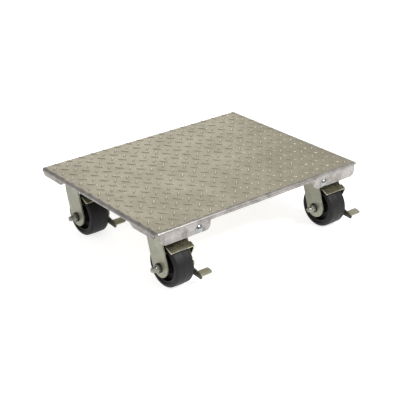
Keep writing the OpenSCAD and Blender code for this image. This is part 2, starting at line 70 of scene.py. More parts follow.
# Tread lugs
LUG_H, LUG_L, LUG_W = 1.5, 25.0, 6.6
LUG_PITCH = Vector((35.2, 37.2))
LUG_SHIFT = Vector((15.2, -5.2))
LUG_SINK = 0.3
LUG_TIP, LUG_OVERHANG = 0.12, 8
LUG_END_POWER, LUG_END_ROOT, LUG_CROWN_POWER = 5, 0.6, 3.2

# Wheel
WHEEL_R, TREAD_HALF = 50.8, 25.4
TYRE_IN_R, SHOULDER_R = 39.7, 7.0
HUB_R, HUB_HALF, BEARING_R = 19.0, 30.6, 13.5
WEB_HALF, RIM_IN_R, RIM_HALF = 7.0, 34.8, 22.4

# Axle hardware, outwards from the near leg's face
LEG_FACE = 35.0
AXLE_R, AXLE_PITCH = 6.0, 1.75
WASHER_R, WASHER_T = 11.5, 2.5
NUT_AF, NUT_HEX, NUT_COLLAR, NUT_COLLAR_R = 19.0, 6.6, 3.4, 8.0
AXLE_OUT = 8.0

# The deck's material slots
TOP, EDGE, BACK, LUG_FOOT_SHADE, LUG_CREST_HIGHLIGHT = range(5)

# Brake lever: side outlines are [ahead of the axle, above the axle], radii are to mid sheet
BRAKE_T, LEVER_X = 3.0, 35.4
SHOE_SLOPE, SHOE_L, SHOE_GAP, SHOE_X, SHOE_BACK_X = 26.0, 23.0, 2.6, -28.0, 29.8
SHOE_NECK, SHOE_BEND_R, SHOE_CORNER_R = 14.0, 5.5, 2.0
LOBE, LOBE_R = Vector((19.5, 0.0)), 13.0
EAR_WAIST = [(22.8, 19.6), (21.6, 16.6), (23.4, 13.0)]
ARM_TOP, ARM_FOOT = (30.6, -11.2), [(56.0, -30.0), (29.0, -28.4), (25.6, -27.0)]
PEDAL_TIP, PEDAL_SLOPE, PEDAL_END = Vector((62.0, -19.0)), 16.0, [(60.6, -24.6), (58.2, -29.0)]
FOOT_L, FOOT_OUT, FOOT_BEND_R, FOOT_CORNER_R = 19.0, 28.0, 2.0, 6.0
BOSS_R, PIVOT_HOLE_R = 11.0, 4.05
ARM_CORNER = Vector((-0.6, 3.4))
SHOE_SPLITS, FOOT_SPLIT = (10.0, -10.0), 12.0
LEVER_ROLL = 0.45

# Tab bolts and their nuts
DOME_R, DOME_H, TAB_BOLT_R = 10.0, 5.0, 4.0
TAB_NUT_AF, TAB_NUT_H = 12.8, 6.4
TAB_STACK = 2 * SHEET_T + 0.3

# Floor, in millimetres
FLOOR_Z, FLOOR_RINGS, FLOOR_STEPS = -0.2, (500.0, 4000.0, 30000.0), 48

# Lamps: name, place in metres, size across in metres, power in watts
LAMPS = (("key", (0.7, -2.0, 2.3), 0.9, 84),
         ("fill", (-2.6, -0.9, 1.7), 2.2, 14),
         ("back", (1.5, 2.3, 1.3), 1.5, 5.5))

# Camera: lens and sensor in millimetres, its place from the middle of the deck's top in metres
LENS, SENSOR = 92.4, 36
CAMERA_FROM_DECK = Vector((-1.4392, -1.7530, 0.9758))
CAMERA_BACK, CAMERA_RIGHT = Vector((-0.5737, -0.6992, 0.4267)), Vector((0.7731, -0.6343, 0.0))


# ------------------------------------------------------------------------------ mesh helpers

def piece(name, bm, body, materials, replaced=(), sharp=32):
    """Turns a bmesh in millimetres into a piece in metres that rides on a body."""
    bmesh.ops.recalc_face_normals(bm, faces=bm.faces)
    bm.transform(Matrix.Scale(MM, 4))
    mesh = bpy.data.meshes.new(name)
    bm.to_mesh(mesh)
    bm.free()
    for material in materials:
        mesh.materials.append(material)
    mesh.shade_smooth()
    mesh.set_sharp_from_angle(angle=math.radians(sharp))
    obj = bpy.data.objects.new(name, mesh)
    bpy.context.scene.collection.objects.link(obj)
    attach(obj, body)
    if replaced:
        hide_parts(*replaced)
    return obj


def add_grid(bm, rows, closed_rows=False, closed_columns=True, material=0):
    """Joins rows of points into quads. A row with one point is a pole."""
    made = [[bm.verts.new(p) for p in row] for row in rows]
    pairs = list(zip(made, made[1:]))
    if closed_rows:
        pairs.append((made[-1], made[0]))
    for a, b in pairs:
        n = max(len(a), len(b))
        for i in range(n if closed_columns else n - 1):
            k = (i + 1) % n
            ring = [a[i % len(a)], a[k % len(a)], b[k % len(b)], b[i % len(b)]]
            corners = list(dict.fromkeys(ring))
            bm.faces.new(corners).material_index = material
    return made


def turned(bm, profile, steps=64, closed=False, at=Matrix.Identity(4), material=0):
    """Turns [along, radius] points about the local X axis."""
    rows = []
    for along, radius in profile:
        count = steps if radius > 1e-6 else 1
        turns = [2 * math.pi * i / steps for i in range(count)]
        rows.append([at @ Vector((along, radius * math.cos(a), radius * math.sin(a)))
                     for a in turns])
    add_grid(bm, rows, closed_rows=closed, material=material)


def arc(centre, radius, start, end, steps):
    """Points on an arc of the [along, radius] plane, angles in degrees."""
    angles = [math.radians(start + (end - start) * i / steps) for i in range(steps + 1)]
    return [(centre[0] + radius * math.cos(a), centre[1] + radius * math.sin(a))
            for a in angles]


def mirrored(half):
    """A closed profile from the points of its +X half, listed from the outside inwards."""
    return [(x, r) for x, r in half] + [(-x, r) for x, r in reversed(half)]


def hexagon(bm, flats, x0, x1, bore, at, material=0, steps=72):
    """A nut along local X from x0 to x1, chamfered at both ends, with a bore."""
    inner = flats / 2
    cap_r = inner * 0.97
    lean = math.tan(math.radians(30))
    turns = [2 * math.pi * i / steps for i in range(steps)]
    reach = [inner / math.cos((a % (math.pi / 3)) - math.pi / 6) for a in turns]

    def ring(along, radii):
        return [at @ Vector((x, r * math.cos(a), r * math.sin(a)))
                for a, x, r in zip(turns, along, radii)]

    drop = [(r - cap_r) * lean for r in reach]
    near, far = [x0] * steps, [x1] * steps
    hole, cap = [bore] * steps, [cap_r] * steps
    rows = [ring(near, hole), ring(near, cap), ring([x0 + d for d in drop], reach),
            ring([x1 - d for d in drop], reach), ring(far, cap), ring(far, hole)]
    add_grid(bm, rows, closed_rows=True, material=material)


def threaded(bm, x0, x1, radius, pitch, at, material=0, steps=48):
    """A bolt's end along local X, with a real helical thread and a chamfered tip at x0."""
    depth = 0.3 * pitch
    per_turn = 6
    count = max(3, round((x1 - x0) / pitch * per_turn))
    rows = [[at @ Vector((x0, 0, 0))]]
    for j in range(count + 1):
        x = x0 + (x1 - x0) * j / count
        tip = min(1, 0.8 + 0.2 * (x - x0) / (0.5 * pitch))
        row = []
        for i in range(steps):
            a = 2 * math.pi * i / steps
            phase = (x / pitch - i / steps) % 1
            r = (radius - depth * abs(2 * phase - 1)) * tip
            row.append(at @ Vector((x, r * math.cos(a), r * math.sin(a))))
        rows.append(row)
    rows.append([at @ Vector((x1, 0, 0))])
    add_grid(bm, rows, material=material)


def rounded_copy(node, body, width, material):
    """A CAD node's shape again, with its sharp edges rolled over as on stamped steel."""
    source = frame["nodes"][node].data
    bm = bmesh.new()
    verts = [bm.verts.new(v.co / MM) for v in source.vertices]
    for polygon in source.polygons:
        bm.faces.new([verts[i] for i in polygon.vertices])
    bmesh.ops.remove_doubles(bm, verts=bm.verts, dist=0.004)
    bmesh.ops.dissolve_limit(bm, angle_limit=math.radians(0.4), verts=bm.verts, edges=bm.edges)
    obj = piece(f"{node}_stamped", bm, body, [material], [node], sharp=35)
    roll = obj.modifiers.new("rolled edges", "BEVEL")
    roll.width = width * MM
    roll.segments = 3
    roll.limit_method = "ANGLE"
    roll.angle_limit = math.radians(35)
    roll.use_clamp_overlap = True
    roll.harden_normals = True
    return obj


# ------------------------------------------------------------------------------ shader groups

def node_group(name, inputs, outputs):
    """A shader group with named sockets. Inputs are (name, kind, default)."""
    group = bpy.data.node_groups.new(name, "ShaderNodeTree")
    for socket_name, kind, default in inputs:
        socket = group.interface.new_socket(
            name=socket_name, in_out="INPUT", socket_type=f"NodeSocket{kind}")
        if default is not None:
            socket.default_value = default
    for socket_name, kind in outputs:
        group.interface.new_socket(
            name=socket_name, in_out="OUTPUT", socket_type=f"NodeSocket{kind}")
    ends = group.nodes.new("NodeGroupInput"), group.nodes.new("NodeGroupOutput")
    return (group, *ends)


def add_node(tree, kind, **values):
    """A node with its inputs linked or set by name. Words that it owns itself are set first."""
    made = tree.nodes.new(f"ShaderNode{kind}")
    for key, value in values.items():
        if hasattr(made, key) and not key[0].isupper():
            setattr(made, key, value)
    for key, value in values.items():
        if not (hasattr(made, key) and not key[0].isupper()):
            wire(tree, value, made.inputs[int(key[1:]) if key[1:].isdigit() else key])
    return made


def wire(tree, value, socket):
    """Links an output to a socket, or sets the socket's own value."""
    if isinstance(value, bpy.types.NodeSocket):
        tree.links.new(value, socket)
    else:
        socket.default_value = value


def math_node(tree, operation, a, b=0.0, clamp=False):
    """One step of arithmetic, as its output."""
    made = add_node(tree, "Math", operation=operation, use_clamp=clamp, _0=a, _1=b)
    return made.outputs[0]


def mix_colour(tree, factor, a, b):
    """The colour between a and b, as an output."""
    made = tree.nodes.new("ShaderNodeMix")
    made.data_type = "RGBA"
    wire(tree, factor, made.inputs[0])
    wire(tree, a, made.inputs[6])
    wire(tree, b, made.inputs[7])
    return made.outputs[2]


def remap(tree, value, low, high, to_low=0.0, to_high=1.0):
    """A value moved from one range to another and held inside it."""
    made = tree.nodes.new("ShaderNodeMapRange")
    made.clamp = True
    for socket, v in zip(made.inputs, (value, low, high, to_low, to_high)):
        wire(tree, v, socket)
    return made.outputs[0]


def noise(tree, place, scale, detail, rough):
    """Cloudy noise, as a value."""
    made = add_node(tree, "TexNoise", Vector=place, Scale=scale, Detail=detail, Roughness=rough)
    return made.outputs[0]


def build_mottling():
    """Cloudy change of colour over a plated or rolled surface, broad and fine."""
    tree, ins, outs = node_group(
        "mottling",
        [("Light", "Color", (0.5, 0.5, 0.5, 1)), ("Dark", "Color", (0.3, 0.3, 0.3, 1)),
         ("Patches per metre", "Float", 30.0), ("Contrast", "Float", 1.0)],
        [("Color", "Color"), ("Mask", "Float")])
    place = add_node(tree, "TexCoord").outputs["Object"]
    broad = noise(tree, place, ins.outputs["Patches per metre"], 3.0, 0.6)
    fine_scale = math_node(tree, "MULTIPLY", ins.outputs["Patches per metre"], 7.0)
    fine = noise(tree, place, fine_scale, 5.0, 0.65)
    both = math_node(tree, "ADD", math_node(tree, "MULTIPLY", broad, 0.65),
                     math_node(tree, "MULTIPLY", fine, 0.35))
    centred = math_node(tree, "SUBTRACT", both, 0.5)
    spread = math_node(tree, "MULTIPLY", centred, math_node(
        tree, "MULTIPLY", ins.outputs["Contrast"], 3.2))
    mask = math_node(tree, "ADD", spread, 0.5, clamp=True)
    wire(tree, mask, outs.inputs["Mask"])
    wire(tree, mix_colour(tree, mask, ins.outputs["Dark"], ins.outputs["Light"]),
         outs.inputs["Color"])
    return tree


def build_grain():
    """Fine surface grain, longer along X by the stretch, as a height and a centred value."""
    tree, ins, outs = node_group(
        "grain",
        [("Grains per metre", "Float", 1200.0), ("Stretch", "Float", 1.0)],
        [("Height", "Float"), ("Value", "Float")])
    place = add_node(tree, "TexCoord").outputs["Object"]
    shrink = math_node(tree, "DIVIDE", 1.0, ins.outputs["Stretch"])
    scaler = add_node(tree, "CombineXYZ", X=shrink, Y=1.0, Z=1.0).outputs[0]
    drawn = add_node(tree, "VectorMath", operation="MULTIPLY", _0=place, _1=scaler).outputs[0]
    height = noise(tree, drawn, ins.outputs["Grains per metre"], 3.0, 0.6)
    wire(tree, height, outs.inputs["Height"])
    wire(tree, math_node(tree, "SUBTRACT", height, 0.5), outs.inputs["Value"])
    return tree


def build_edge_rub_and_highlight():
    """Where edges are lighter, broken up by noise: rubbed by use on most finishes, painted
    highlight on the brake lever.
    """
    tree, ins, outs = node_group(
        "edge rubbing and painted highlight",
        [("Radius", "Float", 0.0012), ("Amount", "Float", 1.0)],
        [("Mask", "Float")])
    rounded = add_node(tree, "Bevel", samples=4, Radius=ins.outputs["Radius"]).outputs[0]
    flat = add_node(tree, "NewGeometry").outputs["Normal"]
    turn = add_node(tree, "VectorMath", operation="DOT_PRODUCT", _0=rounded, _1=flat)
    edge = remap(tree, turn.outputs["Value"], 0.995, 0.86)
    place = add_node(tree, "TexCoord").outputs["Object"]
    broken = remap(tree, noise(tree, place, 260.0, 4.0, 0.7), 0.35, 0.62)
    kept = math_node(tree, "MULTIPLY", edge, broken)
    wire(tree, math_node(tree, "MULTIPLY", kept, ins.outputs["Amount"], clamp=True),
         outs.inputs["Mask"])
    return tree


def build_dust():
    """Thin dust on what faces up."""
    tree, ins, outs = node_group("dust", [("Amount", "Float", 0.3)], [("Mask", "Float")])
    facing = add_node(tree, "SeparateXYZ", Vector=add_node(
        tree, "NewGeometry").outputs["Normal"]).outputs["Z"]
    up = remap(tree, facing, 0.3, 1.0)
    place = add_node(tree, "TexCoord").outputs["Object"]
    patch = remap(tree, noise(tree, place, 55.0, 6.0, 0.7), 0.3, 0.75)
    both = math_node(tree, "MULTIPLY", up, patch)
    wire(tree, math_node(tree, "MULTIPLY", both, ins.outputs["Amount"], clamp=True),
         outs.inputs["Mask"])
    return tree


MOTTLING, GRAIN, EDGE_RUB_AND_HIGHLIGHT, DUST = build_mottling(), build_grain(), build_edge_rub_and_highlight(), build_dust()


# ------------------------------------------------------------------------------ materials

def place_group(tree, group, **values):
    """A shader group with its named inputs linked or set."""
    made = tree.nodes.new("ShaderNodeGroup")
    made.node_tree = group
    for key, value in values.items():
        wire(tree, value, made.inputs[key.replace("_", " ")])
    return made


def finish(name, light, dark, roughness, metallic=1.0, patches=30.0, contrast=1.0,
           grains=1200.0, stretch=1.0, bump=0.00002, vary=0.12, edge_tint=None, edge_amount=0.8,
           edge_radius=0.0012, dust=0.0, dust_colour=(0.42, 0.40, 0.36, 1), specular=0.5):
    """A material with mottling, grain, and, where asked for, lighter edges and dust. The lighter
    edges are rubbed by use, and on the brake lever they are painted highlight.
    """
    material = bpy.data.materials.new(name)
    material.use_nodes = True
    tree = material.node_tree
    shader = tree.nodes["Principled BSDF"]
    shader.inputs["Metallic"].default_value = metallic
    shader.inputs["Specular IOR Level"].default_value = specular
    mottle = place_group(tree, MOTTLING, Light=(*light, 1), Dark=(*dark, 1),
                         Patches_per_metre=patches, Contrast=contrast)
    grain = place_group(tree, GRAIN, Grains_per_metre=grains, Stretch=stretch)
    colour = mottle.outputs["Color"]
    rough = math_node(tree, "ADD", roughness, math_node(
        tree, "MULTIPLY", grain.outputs["Value"], vary * 2))
    rough = math_node(tree, "ADD", rough, math_node(
        tree, "MULTIPLY", mottle.outputs["Mask"], -vary * 0.5), clamp=True)
    # Lighter edges: rubbed by use, and on the brake lever a painted highlight.
    if edge_tint:
        edge_mask = place_group(tree, EDGE_RUB_AND_HIGHLIGHT, Radius=edge_radius, Amount=edge_amount).outputs["Mask"]
        colour = mix_colour(tree, edge_mask, colour, (*edge_tint, 1))
    if dust:
        film = place_group(tree, DUST, Amount=dust).outputs["Mask"]
        colour = mix_colour(tree, film, colour, dust_colour)
        rough = math_node(tree, "ADD", rough, math_node(tree, "MULTIPLY", film, 0.25), clamp=True)
    wire(tree, colour, shader.inputs["Base Color"])
    wire(tree, rough, shader.inputs["Roughness"])
    relief = add_node(tree, "Bump", Strength=1.0, Distance=bump, Height=grain.outputs["Height"])
    wire(tree, relief.outputs[0], shader.inputs["Normal"])
    return material


tread_face = finish(
    "rolled tread face", (0.425, 0.388, 0.284), (0.30, 0.273, 0.193), 0.40, metallic=0.6,
    patches=16.0, contrast=0.9, grains=900.0, stretch=3.0, bump=0.00003, dust=0.2)
# Painted shade: a dark band round each lug's foot, where it meets the plate.
lug_foot_shade = finish(
    "painted shade round the lugs", (0.215, 0.192, 0.133), (0.140, 0.124, 0.085), 0.5, metallic=0.4,
    patches=30.0, grains=900.0, bump=0.00003)
# Painted highlight: the lug crests are lighter than the plate round them.
lug_crest_highlight = finish(
    "lug crest, painted highlight", (0.60, 0.565, 0.44), (0.46, 0.43, 0.33), 0.30, metallic=0.8,
    patches=60.0, grains=1400.0, stretch=3.0, bump=0.00002)
bent_edge = finish(
    "bent plate edge", (0.365, 0.345, 0.325), (0.175, 0.163, 0.153), 0.40, metallic=0.6,
    patches=38.0, contrast=1.25, grains=1400.0, stretch=6.0, bump=0.00003,
    edge_tint=(0.66, 0.65, 0.63), edge_amount=0.7)
plate_back = finish(
    "plate underside", (0.30, 0.28, 0.23), (0.20, 0.185, 0.15), 0.5, metallic=0.5,
    patches=22.0, grains=900.0, stretch=2.0)
fork_zinc = finish(
    "greenish zinc plate", (0.335, 0.335, 0.265), (0.215, 0.215, 0.162), 0.40, metallic=0.62,
    patches=26.0, contrast=0.8, grains=1700.0, bump=0.000012,
    edge_tint=(0.55, 0.56, 0.50), edge_amount=0.6)
# The lever's lighter edges are a painted highlight.
brake_zinc = finish(
    "olive zinc plate", (0.60, 0.585, 0.475), (0.43, 0.415, 0.31), 0.32, metallic=0.85,
    patches=34.0, contrast=0.8, grains=1700.0, bump=0.000008,
    edge_tint=(0.75, 0.73, 0.62), edge_amount=0.7)
# Painted shade: the shoe over the tread is far darker than the same zinc on the rest of the lever,
# and its lighter edges are painted highlight.
shoe_shade_zinc = finish(
    "shoe, painted shade", (0.27, 0.255, 0.175), (0.085, 0.078, 0.052), 0.30, metallic=0.85,
    patches=30.0, contrast=1.2, grains=1500.0, bump=0.000008,
    edge_tint=(0.60, 0.58, 0.45), edge_amount=0.8)
# Painted shade: the lever's inner face, towards the wheel, is near black though it is the same zinc
# as its outer face.
inner_shade_zinc = finish(
    "inner side of the lever, painted shade", (0.070, 0.067, 0.045), (0.028, 0.026, 0.017), 0.5, metallic=0.4,
    patches=40.0, contrast=1.0, grains=1600.0, bump=0.00001)
cut_zinc = finish(
    "sheared zinc edge", (0.52, 0.51, 0.40), (0.36, 0.35, 0.26), 0.36, metallic=0.8,
    patches=80.0, contrast=0.8, grains=2200.0, bump=0.00001)
bright_zinc = finish(
    "bright zinc", (0.37, 0.385, 0.38), (0.24, 0.25, 0.245), 0.22, metallic=1.0,
    patches=60.0, contrast=0.6, grains=2200.0, bump=0.000006)
axle_zinc = finish(
    "dull zinc hardware", (0.31, 0.305, 0.26), (0.17, 0.167, 0.14), 0.36, metallic=0.9,
    patches=60.0, contrast=0.8, grains=2200.0, bump=0.00001, edge_tint=(0.7, 0.69, 0.64))
# A near-black washer between the leg and the nut.
black_washer = finish(
    "near-black washer", (0.030, 0.029, 0.027), (0.016, 0.015, 0.014), 0.42, metallic=0.6,
    patches=80.0, grains=2400.0, bump=0.00001)
bracket_steel = finish(
    "bracket plate", (0.40, 0.39, 0.35), (0.28, 0.27, 0.24), 0.45, metallic=0.7,
    patches=26.0, grains=1400.0, edge_tint=(0.6, 0.6, 0.56), edge_amount=0.5)
bearing_steel = finish(
    "bearing steel", (0.62, 0.62, 0.60), (0.46, 0.46, 0.44), 0.25, metallic=1.0,
    patches=70.0, grains=2600.0, bump=0.000006)
core_black = finish(
    "moulded core", (0.010, 0.0088, 0.0082), (0.005, 0.0045, 0.0045), 0.55, metallic=0.0,
    patches=40.0, grains=1600.0, bump=0.00003, dust=0.06, dust_colour=(0.08, 0.07, 0.065, 1),
    specular=0.3)
tyre_black = finish(
    "hard rubber", (0.0070, 0.0058, 0.0064), (0.0034, 0.0029, 0.0032), 0.58, metallic=0.0,
    patches=30.0, contrast=1.0, grains=2000.0, bump=0.00003, vary=0.1, dust=0.06,
    dust_colour=(0.07, 0.062, 0.058, 1), specular=0.3)


# ------------------------------------------------------------------------------ the deck

deck_lo, deck_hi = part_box("deck_plate")
deck_mid = Vector(((deck_lo.x + deck_hi.x) / 2, (deck_lo.y + deck_hi.y) / 2)) / MM
half_l = (deck_hi.x - deck_lo.x) / 2 / MM
half_w = (deck_hi.y - deck_lo.y) / 2 / MM
sheet_top = deck_hi.z / MM - LUG_H
ARC_L = BEND_R * math.pi / 2


def edge_run(depth):
    """How far down the bent edge a depth lies, measured along the sheet from its flat."""
    if depth < BEND_R:
        return BEND_R * math.acos(1 - depth / BEND_R)
    return ARC_L + depth - BEND_R


def edge_section(run, inward):
    """[inset from the deck's outline, depth] of a point in the bent edge's section."""
    if run < ARC_L:
        turn = run / BEND_R
        r = BEND_R - inward
        return BEND_R - r * math.sin(turn), BEND_R - r * math.cos(turn)
    return inward, BEND_R + run - ARC_L


def tab_outline(length, start, tab_l, ramp_near, ramp_far, lip, relief):
    """[along, depth] points down one edge, from one corner to the other, for its two tabs.
    ramp_near and ramp_far give each tab end's own points, from its lip to its foot."""
    near = [(relief - 0.5, RELIEF_DEPTH), (relief, lip)] if relief < start - 1 else [
        (start - 0.5, RELIEF_DEPTH)]
    tab = [(start + a, d) for a, d in ramp_near]
    tab += [(start + tab_l - a, d) for a, d in reversed(ramp_far)]
    side = [(0.0, RELIEF_DEPTH), *near, *tab]
    middle = [(length * k / 12, lip) for k in range(5, 8)]
    return side + middle + [(length - a, d) for a, d in reversed(side)]


def long_edge():
    r, steps = LONG_TAB_R, 8
    turn = [math.pi / 2 * k / steps for k in range(steps + 1)]
    rounded = [(r * (1 - math.cos(t)), LONG_TAB - r * (1 - math.sin(t))) for t in turn]
    foot_in = [(-0.4, LONG_LIP), *rounded]
    return tab_outline(2 * half_l - 2 * PLAN_R, LONG_TAB_START - PLAN_R, LONG_TAB_L,
                       rounded, foot_in, LONG_LIP, RELIEF_LONG)


def short_edge():
    def ramp(run):
        return [(0.0, SHORT_LIP), (run * 0.12, SHORT_LIP + 0.6), (run * 0.85, SHORT_TAB - 0.9),
                (run, SHORT_TAB)]
    return tab_outline(2 * half_w - 2 * PLAN_R, SHORT_TAB_START - PLAN_R, SHORT_TAB_L,
                       ramp(SHORT_TAB_OUT), ramp(SHORT_TAB_IN), SHORT_LIP,
                       max(0.6, RELIEF_SHORT - PLAN_R))


def deck_outline():
    """[distance round the outline, run down the edge] points of the whole deck's rim."""
    corner_l = PLAN_R * math.pi / 2
    at, points = 0.0, []
    for length, outline in ((2 * half_l - 2 * PLAN_R, long_edge()),
                            (2 * half_w - 2 * PLAN_R, short_edge())) * 2:
        points += [(at + a, edge_run(d)) for a, d in outline]
        at += length
        points += [(at + corner_l * k / 5, edge_run(RELIEF_DEPTH)) for k in range(1, 5)]
        at += corner_l
    return points, at


def on_outline(distance, inset):
    """Where a distance round the deck's outline lies, moved inwards by the inset."""
    straight = (2 * half_l - 2 * PLAN_R, 2 * half_w - 2 * PLAN_R) * 2
    corner_l = PLAN_R * math.pi / 2
    heading = Vector((1.0, 0.0))
    spot = Vector((-half_l + PLAN_R, -half_w))
    for length in straight:
        left = Vector((-heading.y, heading.x))
        if distance <= length:
            return spot + heading * distance + left * inset
        distance -= length
        spot += heading * length
        centre = spot + left * PLAN_R
        if distance <= corner_l:
            a = distance / PLAN_R
            out = heading * math.sin(a) - left * math.cos(a)
            return centre + out * (PLAN_R - inset)
        distance -= corner_l
        spot = centre + heading * PLAN_R
        heading = left
    return on_outline(0.0, inset)


def deck_point(distance, run, inward, total):
    inset, depth = edge_section(run, inward)
    flat = on_outline(distance % total, inset)
    return Vector((flat.x + deck_mid.x, flat.y + deck_mid.y, sheet_top - depth))


def deck_sheet(bm):
    """The sheet as one closed skin: flat, bend, lips and tabs outside, then the same inside."""
    outline, total = deck_outline()
    count = len(outline)
    columns = []
    for i, (s, q) in enumerate(outline):
        before, after = outline[i - 1], outline[(i + 1) % count]
        ds = (after[0] - before[0]) % total
        along = Vector((ds, after[1] - before[1])).normalized()
        normal = Vector((-along.y, along.x))
        top = s + normal.x * RIM_R, q - abs(normal.y) * RIM_R
        bend_end = min(ARC_L * 0.9, top[1] * 0.86)
        walk = [(s, bend_end * k / 8) for k in range(9)]
        walk += [(s + (top[0] - s) * k / 4, bend_end + (top[1] - bend_end) * k / 4)
                 for k in range(1, 5)]
        mid = s + (top[0] - s) * 0.3, q - abs(normal.y) * RIM_R * 0.3
        rim = [(*mid, RIM_R * 0.3), (s, q, RIM_R), (s, q, SHEET_T - RIM_R),
               (*mid, SHEET_T - RIM_R * 0.3)]
        path = [(*w, 0.0) for w in walk] + rim + [(*w, SHEET_T) for w in reversed(walk)]
        columns.append([deck_point(*p, total) for p in path])
    rows = [list(row) for row in zip(*columns)]
    made = add_grid(bm, rows, material=EDGE)
    inside = {vert for row in made[-len(walk):] for vert in row}
    for face in {f for vert in inside for f in vert.link_faces}:
        if all(vert in inside for vert in face.verts):
            face.material_index = BACK
    bm.faces.new(made[0]).material_index = TOP
    bm.faces.new(made[-1]).material_index = BACK


def lug(bm, at, angle):
    """One raised lug: two arcs in plan that meet in points, with a domed crest."""
    stations, across = 10, (-1, -0.82, -0.5, 0, 0.5, 0.82, 1)
    arc_r = ((LUG_L / 2) ** 2 + (LUG_W / 2) ** 2) / LUG_W
    turn = Matrix.Rotation(math.radians(angle), 2)
    rows = []
    for k in range(stations + 1):
        t = math.sin(math.pi / 2 * (2 * k / stations - 1))
        x = t * LUG_L / 2
        half = max(LUG_TIP, math.sqrt(arc_r ** 2 - x ** 2) - (arc_r - LUG_W / 2))
        crest = (LUG_H + LUG_SINK) * (1 - abs(t) ** LUG_END_POWER) ** LUG_END_ROOT
        row = []
        for u in across:
            flat = Vector(at) + turn @ Vector((x, u * half))
            rise = crest * (1 - abs(u) ** LUG_CROWN_POWER)
            row.append(Vector((flat.x + deck_mid.x, flat.y + deck_mid.y,
                               sheet_top - LUG_SINK + rise)))
        rows.append(row)
    made = add_grid(bm, rows, closed_columns=False)
    crest_verts = {vert for row in made[2:-2] for vert in row[2:-2]}
    outer = {vert for row in made for vert in (row[0], row[-1])}
    for face in {f for row in made for vert in row for f in vert.link_faces}:
        # Crest faces take the painted highlight.
        if all(vert in crest_verts for vert in face.verts):
            face.material_index = LUG_CREST_HIGHLIGHT
        # Faces of the outer rows round the lug's foot take the painted shade.
        elif any(vert in outer for vert in face.verts):
            face.material_index = LUG_FOOT_SHADE
    rim = [r[0] for r in made] + made[-1][1:-1] + [r[-1] for r in reversed(made)]
    rim += list(reversed(made[0][1:-1]))
    bm.faces.new(rim)


def tread_lugs(bm):
    """Lugs over the flat, each across the line of its neighbours, cut off at the bends."""
    nx, ny = math.ceil(half_l / LUG_PITCH.x) + 1, math.ceil(half_w / LUG_PITCH.y) + 1
    flat = Vector((half_l - BEND_R, half_w - BEND_R))
    for i in range(-nx, nx + 1):
        for j in range(-ny, ny + 1):
            at = Vector((i * LUG_PITCH.x, j * LUG_PITCH.y)) + LUG_SHIFT
            for spot, angle in ((at, -45), (at + LUG_PITCH / 2, 45)):
                if (abs(spot.x) < flat.x + LUG_OVERHANG
                        and abs(spot.y) < flat.y + LUG_OVERHANG):
                    lug(bm, spot, angle)
    for axis, reach in ((0, flat.x), (1, flat.y)):
        for side in (-1, 1):
            normal = Vector((0, 0, 0))
            normal[axis] = side
            spot = Vector((deck_mid.x, deck_mid.y, 0)) + normal * reach
            bmesh.ops.bisect_plane(bm, geom=bm.verts[:] + bm.edges[:] + bm.faces[:],
                                   plane_co=spot, plane_no=normal, clear_outer=True)
            bmesh.ops.holes_fill(bm, edges=[e for e in bm.edges if e.is_boundary], sides=0)


def build_deck():
    """The bent sheet with its lugs, as one piece."""
    lugs = bmesh.new()
    tread_lugs(lugs)
    mesh = bpy.data.meshes.new("lug stock")
    lugs.to_mesh(mesh)
    lugs.free()
    bm = bmesh.new()
    deck_sheet(bm)
    bm.from_mesh(mesh)
    bpy.data.meshes.remove(mesh)
    materials = [tread_face, bent_edge, plate_back, lug_foot_shade, lug_crest_highlight]
    piece("deck_sheet", bm, "deck", materials, ["deck_plate"], sharp=40)


# ------------------------------------------------------------------------------ tab hardware

def tab_matrices():
    """One frame at each tab's outer face, its +X pointing out of the deck."""
    bolt_lo, bolt_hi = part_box("tab_bolts")
    z = (bolt_lo.z + DOME_R * MM) / MM
    for side in (-1, 1):
        face = deck_mid.y + side * half_w
        for x in ((bolt_lo.x + DOME_R * MM) / MM, (bolt_hi.x - DOME_R * MM) / MM):
            yield Matrix.Translation((x, face, z)) @ Matrix.Rotation(side * math.pi / 2, 4, "Z")


def build_tab_bolts():
    cap_r = (DOME_R ** 2 + DOME_H ** 2) / (2 * DOME_H)
    spread = math.asin(DOME_R / cap_r)
    dome = [(DOME_H - cap_r + cap_r * math.cos(spread * k / 12), cap_r * math.sin(spread * k / 12))
            for k in range(12)]
    under = [(0.55, DOME_R - 0.1), (0.2, DOME_R - 0.05), (0, DOME_R - 0.4), (0, TAB_BOLT_R)]
    nut_end = -TAB_STACK - TAB_NUT_H
    shank = [(-TAB_STACK, TAB_BOLT_R), (nut_end - 0.6, TAB_BOLT_R),
             (nut_end - 1, TAB_BOLT_R - 0.5), (nut_end - 1, 0)]
    bm = bmesh.new()
    for at in tab_matrices():
        turned(bm, [*dome, *under, *shank], at=at)
    piece("tab_bolt_domes", bm, "deck", [bright_zinc], ["tab_bolts"])
    bm = bmesh.new()
    for at in tab_matrices():
        hexagon(bm, TAB_NUT_AF, nut_end, -TAB_STACK, TAB_BOLT_R, at)
    piece("tab_bolt_nuts", bm, "deck", [bright_zinc], ["tab_nuts"])


# ------------------------------------------------------------------------------ one caster

